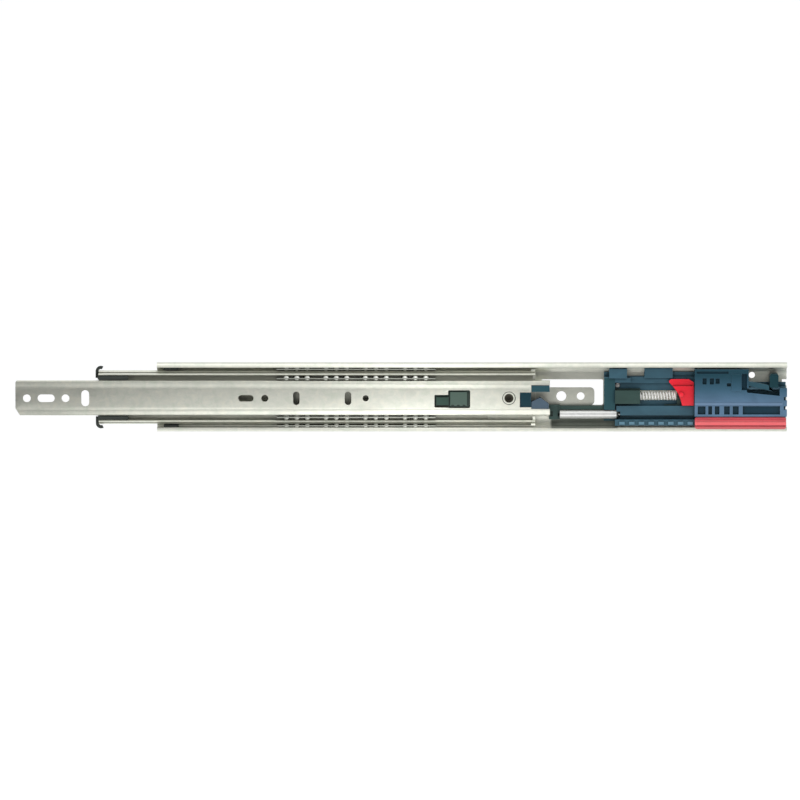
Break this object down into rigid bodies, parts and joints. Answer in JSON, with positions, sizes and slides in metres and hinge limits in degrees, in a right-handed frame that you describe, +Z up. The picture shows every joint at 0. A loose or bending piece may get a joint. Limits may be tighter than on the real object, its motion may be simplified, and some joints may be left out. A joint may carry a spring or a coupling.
{
  "type": "soft-close drawer slide",
  "caption": "Full-extension side-mount ball-bearing drawer slide with three telescoping steel members, ball cages and a soft-close spring and damper at the rear.",
  "frame": {"origin": "on the cabinet mounting face, at the front end of the cabinet member, on the centre line", "axes": "+X from the front of the cabinet to the back, +Z up, -Y towards the drawer"},
  "size_m": [0.4974, 0.0127, 0.045],
  "materials": {
    "zinc_steel": "bright zinc-plated cold-rolled steel with fine rolling grain",
    "cage_steel": "dull stamped steel strip, lightly greased",
    "ball_steel": "polished hardened steel",
    "bright_steel": "bright nickel-plated steel",
    "spring_steel": "drawn spring wire, bright",
    "chrome_tube": "polished tube",
    "blue_plastic": "moulded slate-blue engineering plastic, fine texture",
    "black_plastic": "black moulded plastic",
    "green_plastic": "dark green-grey moulded plastic",
    "red_plastic": "glossy red moulded plastic",
    "pink_plastic": "glossy wine-red moulded plastic"
  },
  "bodies": {
    "cabinet": {"cabinet_member": "zinc_steel", "cabinet_bumpers": "black_plastic", "housing_base": "blue_plastic", "rear_frame": "blue_plastic", "end_post": "blue_plastic", "housing_cover": "blue_plastic", "snap_arm": "blue_plastic", "cassette_bar": "pink_plastic", "housing_rivets": "bright_steel", "spring_seat": "green_plastic", "spring_guide": "bright_steel", "closing_spring": "spring_steel", "damper_cylinder": "chrome_tube", "damper_gland": "black_plastic", "damper_bracket": "green_plastic"},
    "outer_cages": {"outer_cage_upper": "cage_steel", "outer_cage_lower": "cage_steel", "outer_balls_upper": "ball_steel", "outer_balls_lower": "ball_steel"},
    "middle": {"middle_member": "zinc_steel", "middle_bumpers": "black_plastic"},
    "inner_cages": {"inner_cage": "cage_steel", "inner_balls_upper": "ball_steel", "inner_balls_lower": "ball_steel"},
    "drawer": {"drawer_member": "zinc_steel", "drawer_catch": "blue_plastic", "catch_rivet": "bright_steel", "lever_rivet": "bright_steel"},
    "lever": {"release_lever": "green_plastic"},
    "carriage": {"latch_carriage": "green_plastic", "damper_rod": "bright_steel"},
    "latch": {"latch": "red_plastic"}
  },
  "joints": [
    {"name": "middle_slide", "type": "slide", "parent": "cabinet", "child": "middle", "axis": [-1, 0, 0], "range_m": [-0.0375, 0.121]},
    {"name": "outer_cage_slide", "type": "slide", "parent": "cabinet", "child": "outer_cages", "axis": [-1, 0, 0], "range_m": [-0.01875, 0.0605]},
    {"name": "drawer_slide", "type": "slide", "parent": "middle", "child": "drawer", "axis": [-1, 0, 0], "range_m": [-0.0535, 0.144]},
    {"name": "inner_cage_slide", "type": "slide", "parent": "middle", "child": "inner_cages", "axis": [-1, 0, 0], "range_m": [-0.02675, 0.072]},
    {"name": "latch_slide", "type": "slide", "parent": "cabinet", "child": "carriage", "axis": [-1, 0, 0], "range_m": [0, 0.022], "stiffness_N_per_m": 120, "springref_m": -0.01, "deforming": ["closing_spring"]},
    {"name": "latch_tip", "type": "hinge", "parent": "carriage", "child": "latch", "pos_m": [0.3382, -0.004, 0.002], "axis": [0, 1, 0], "range_deg": [-8, 0], "stiffness_Nm_per_rad": 0.02, "springref_deg": 5.73},
    {"name": "lever_pivot", "type": "hinge", "parent": "drawer", "child": "lever", "pos_m": [0.2054, -0.0102, 0], "axis": [0, 1, 0], "range_deg": [-3, 3], "stiffness_Nm_per_rad": 0.05}
  ],
  "couplings": [
    {"joint": "outer_cage_slide", "follows": "middle_slide", "ratio": 0.5},
    {"joint": "inner_cage_slide", "follows": "drawer_slide", "ratio": 0.5}
  ]
}
